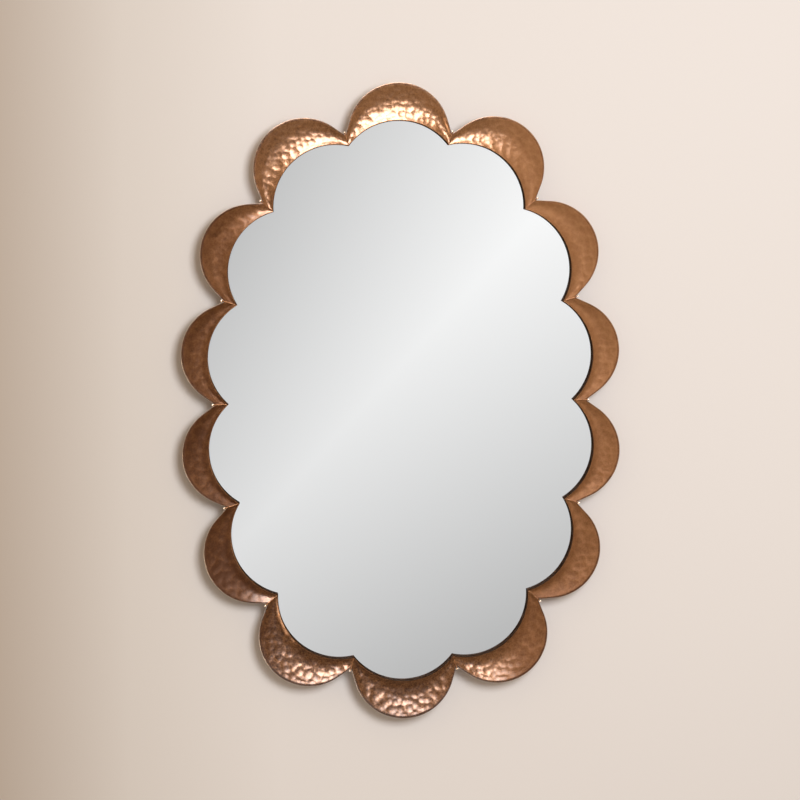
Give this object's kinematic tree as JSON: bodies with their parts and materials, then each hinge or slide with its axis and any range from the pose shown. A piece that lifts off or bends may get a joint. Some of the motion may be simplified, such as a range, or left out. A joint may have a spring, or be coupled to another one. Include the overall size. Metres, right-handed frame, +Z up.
{
  "type": "wall mirror",
  "caption": "Portrait oval wall mirror: scalloped glass in a shallow recess, framed by dished petals of hammered copper, with swinging D-ring hangers behind.",
  "frame": {"origin": "on the wall plane, behind the middle of the oval, where the mirror is held to the wall", "axes": "+Z up along the oval's height, +X to the right seen from the front, +Y into the wall; the glass faces -Y"},
  "size_m": [0.629, 0.0312, 0.914],
  "materials": {
    "hammered_copper": "copper sheet, hammered all over, toned brown and lacquered",
    "strip_copper": "smooth copper strip, toned and lacquered",
    "braze": "bright filed braze",
    "mirror_glass": "polished silvered glass",
    "backing_board": "fibreboard stained dark",
    "foam_tape": "white double-sided foam tape",
    "bracket_copper": "bent copper strip with brazing stains",
    "screw_steel": "zinc-plated steel",
    "hanger_steel": "zinc-plated steel strap",
    "ring_steel": "zinc-plated steel wire",
    "bumper_rubber": "moulded black rubber"
  },
  "bodies": {
    "frame": {"petal_01": "hammered_copper", "petal_02": "hammered_copper", "petal_03": "hammered_copper", "petal_04": "hammered_copper", "petal_05": "hammered_copper", "petal_06": "hammered_copper", "petal_07": "hammered_copper", "petal_08": "hammered_copper", "petal_09": "hammered_copper", "petal_10": "hammered_copper", "petal_11": "hammered_copper", "petal_12": "hammered_copper", "petal_13": "hammered_copper", "petal_14": "hammered_copper", "inner_strip_01": "strip_copper", "inner_strip_02": "strip_copper", "inner_strip_03": "strip_copper", "inner_strip_04": "strip_copper", "inner_strip_05": "strip_copper", "inner_strip_06": "strip_copper", "inner_strip_07": "strip_copper", "inner_strip_08": "strip_copper", "inner_strip_09": "strip_copper", "inner_strip_10": "strip_copper", "inner_strip_11": "strip_copper", "inner_strip_12": "strip_copper", "inner_strip_13": "strip_copper", "inner_strip_14": "strip_copper", "seam_braze": "braze", "mirror_glass": "mirror_glass", "backing_board": "backing_board", "foam_tape": "foam_tape", "board_bracket_01": "bracket_copper", "board_bracket_02": "bracket_copper", "board_bracket_03": "bracket_copper", "board_bracket_04": "bracket_copper", "board_bracket_05": "bracket_copper", "board_bracket_06": "bracket_copper", "board_bracket_07": "bracket_copper", "board_bracket_08": "bracket_copper", "board_screws": "screw_steel", "left_hanger_strap": "hanger_steel", "left_hanger_screws": "screw_steel", "lower_left_bumper": "bumper_rubber", "upper_left_bumper": "bumper_rubber", "right_hanger_strap": "hanger_steel", "right_hanger_screws": "screw_steel", "lower_right_bumper": "bumper_rubber", "upper_right_bumper": "bumper_rubber"},
    "left_ring": {"left_hanger_ring": "ring_steel"},
    "right_ring": {"right_hanger_ring": "ring_steel"}
  },
  "joints": [
    {"name": "left_ring_swing", "type": "hinge", "parent": "frame", "child": "left_ring", "pos_m": [-0.15, -0.0034, 0.19], "axis": [1, 0, 0], "range_deg": [0, 180]},
    {"name": "right_ring_swing", "type": "hinge", "parent": "frame", "child": "right_ring", "pos_m": [0.15, -0.0034, 0.19], "axis": [1, 0, 0], "range_deg": [0, 180]}
  ]
}
